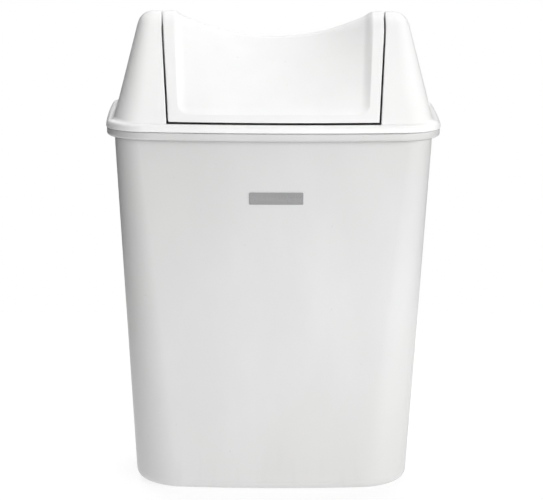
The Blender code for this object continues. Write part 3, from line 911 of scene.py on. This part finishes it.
def moulded_plastic(name, colour, roughness, low_darkening=0.0):
    """White moulded plastic: faint flow mottling, satin grain, fine specks, and streaks darker near the
    floor.
    """
    nodes = Nodes(name)
    mottle = nodes.remap(nodes.noise(26.0, 3.0, (1.0, 1.0, 0.45)), 0.35, 0.65, 0.0, 1.0)
    painted = nodes.blend(mottle, colour, tinted(colour, 0.965))
    bloom = nodes.remap(nodes.noise(9.0, 2.0), 0.45, 0.75, 0.0, 0.6)
    painted = nodes.blend(bloom, painted, tinted(colour, 0.985, 0.978, 0.955))
    specks = nodes.remap(nodes.noise(420.0, 1.0), 0.775, 0.81, 0.0, 0.35)
    painted = nodes.blend(specks, painted, tinted(colour, 0.72))
    # Streaks that darken the tub towards the floor, fading out between two heights.
    if low_darkening:
        near_floor = nodes.remap(nodes.height(), *LOW_DARKENING_HEIGHTS, 1.0, 0.0)
        streaks = nodes.remap(nodes.noise(160.0, 4.0, (1.0, 1.0, 0.12)), 0.52, 0.72, 0.0, low_darkening)
        painted = nodes.blend(nodes.times(streaks, near_floor), painted, tinted(colour, 0.80))
    nodes.join(painted, nodes.shader.inputs["Base Color"])
    gloss = nodes.remap(nodes.noise(70.0, 4.0), 0.3, 0.7, roughness - 0.035, roughness + 0.045)
    nodes.join(gloss, nodes.shader.inputs["Roughness"])
    waves = nodes.bump(nodes.noise(38.0, 1.0), 0.10, 0.0006)
    grain = nodes.bump(nodes.noise(1500.0, 2.0), 0.10, 0.00006, below=waves)
    nodes.join(grain, nodes.shader.inputs["Normal"])
    nodes.shader.inputs["IOR"].default_value = PLASTIC_IOR
    return nodes.material


def printed_grey(name, colour):
    """The label's matt grey film, with a fine screen and faint brushing."""
    nodes = Nodes(name)
    screen = nodes.remap(nodes.noise(1400.0, 1.0), 0.35, 0.65, 0.0, 1.0)
    painted = nodes.blend(screen, colour, tinted(colour, 0.88))
    brushing = nodes.remap(nodes.noise(300.0, 3.0, (0.08, 1.0, 1.0)), 0.4, 0.7, 0.0, 0.5)
    painted = nodes.blend(brushing, painted, tinted(colour, 1.12))
    nodes.join(painted, nodes.shader.inputs["Base Color"])
    gloss = nodes.remap(nodes.noise(200.0, 3.0), 0.3, 0.7, 0.42, 0.56)
    nodes.join(gloss, nodes.shader.inputs["Roughness"])
    nodes.join(nodes.bump(nodes.noise(900.0, 2.0), 0.08, 0.00005), nodes.shader.inputs["Normal"])
    return nodes.material


# ---------------------------------------------------------------- studio


def make_floor():
    """A plain pale floor that glows, as a lit table does, which keeps the shadows soft."""
    mesh = bpy.data.meshes.new("studio_floor")
    corners = [(FLOOR_REACH * x, FLOOR_REACH * y, 0.0) for x, y in ((-1, -1), (1, -1), (1, 1), (-1, 1))]
    mesh.from_pydata(corners, [], [(0, 1, 2, 3)])
    floor = bpy.data.objects.new("studio_floor", mesh)
    floor.location.z = -FLOOR_DROP
    bpy.context.scene.collection.objects.link(floor)
    material = bpy.data.materials.new("floor_white")
    material.use_nodes = True
    shader = material.node_tree.nodes["Principled BSDF"]
    shader.inputs["Base Color"].default_value = (FLOOR_GREY, FLOOR_GREY, FLOOR_GREY, 1.0)
    shader.inputs["Emission Color"].default_value = (1.0, 1.0, 1.0, 1.0)
    shader.inputs["Emission Strength"].default_value = FLOOR_GLOW
    shader.inputs["Roughness"].default_value = FLOOR_ROUGHNESS
    shader.inputs["Specular IOR Level"].default_value = FLOOR_SPECULAR
    mesh.materials.append(material)


def make_lights():
    """Soft lamps far away, and a white sky that is seen behind the bin but gives no light."""
    for name, azimuth, elevation, size, strength in LAMPS:
        data = bpy.data.lights.new(name, "SUN")
        data.energy = strength
        data.angle = math.radians(size)
        lamp = bpy.data.objects.new(name, data)
        turn, rise = math.radians(azimuth), math.radians(elevation)
        level = math.cos(rise)
        towards = Vector((math.sin(turn) * level, -math.cos(turn) * level, math.sin(rise)))
        lamp.rotation_euler = towards.to_track_quat("Z", "Y").to_euler()
        bpy.context.scene.collection.objects.link(lamp)
    world = bpy.data.worlds.new("studio_sky")
    world.use_nodes = True
    tree = world.node_tree
    dark = tree.nodes["Background"]
    dark.inputs["Strength"].default_value = 0.0
    bright = tree.nodes.new("ShaderNodeBackground")
    bright.inputs["Color"].default_value = (1.0, 1.0, 1.0, 1.0)
    choose = tree.nodes.new("ShaderNodeMixShader")
    path = tree.nodes.new("ShaderNodeLightPath")
    tree.links.new(path.outputs["Is Camera Ray"], choose.inputs["Fac"])
    tree.links.new(dark.outputs[0], choose.inputs[1])
    tree.links.new(bright.outputs[0], choose.inputs[2])
    tree.links.new(choose.outputs[0], tree.nodes["World Output"].inputs["Surface"])
    bpy.context.scene.world = world
    bpy.context.scene.view_settings.view_transform = "Standard"


def make_camera():
    """The camera in front of the bin, looking slightly down at it."""
    data = bpy.data.cameras.new("photo_camera")
    data.lens = CAMERA_LENS
    data.sensor_width = CAMERA_SENSOR
    camera = bpy.data.objects.new("photo_camera", data)
    bpy.context.scene.collection.objects.link(camera)
    back = Vector((-math.sin(CAMERA_YAW), -math.cos(CAMERA_YAW), 0.0))
    turn = Matrix.Rotation(CAMERA_AIM - CAMERA_YAW, 4, "Z")
    turn @= Matrix.Rotation(0.5 * math.pi - CAMERA_PITCH, 4, "X")
    turn @= Matrix.Rotation(CAMERA_ROLL, 4, "Z")
    place = back * CAMERA_DISTANCE + Vector((0.0, 0.0, CAMERA_Z))
    camera.matrix_world = Matrix.Translation(place) @ turn
    bpy.context.scene.camera = camera


def main():
    make_camera()
    # The tub's material carries painted shade: its white is greyed below the lid's to stand for the
    # shade on its upright wall.
    tub_white_and_shade = moulded_plastic("tub_white_and_shade", TUB_WHITE_AND_SHADE, TUB_ROUGHNESS, TUB_LOW_DARKENING)
    lid_white = moulded_plastic("lid_white", LID_WHITE, LID_ROUGHNESS)
    pin_white = moulded_plastic("pin_white", PIN_WHITE, PIN_ROUGHNESS)
    make_tub(tub_white_and_shade)
    make_hood(lid_white)
    make_flap(lid_white)
    for side in (1, -1):
        make_pin(side, pin_white)
    make_label(printed_grey("label_grey", LABEL_GREY))
    make_floor()
    make_lights()


main()
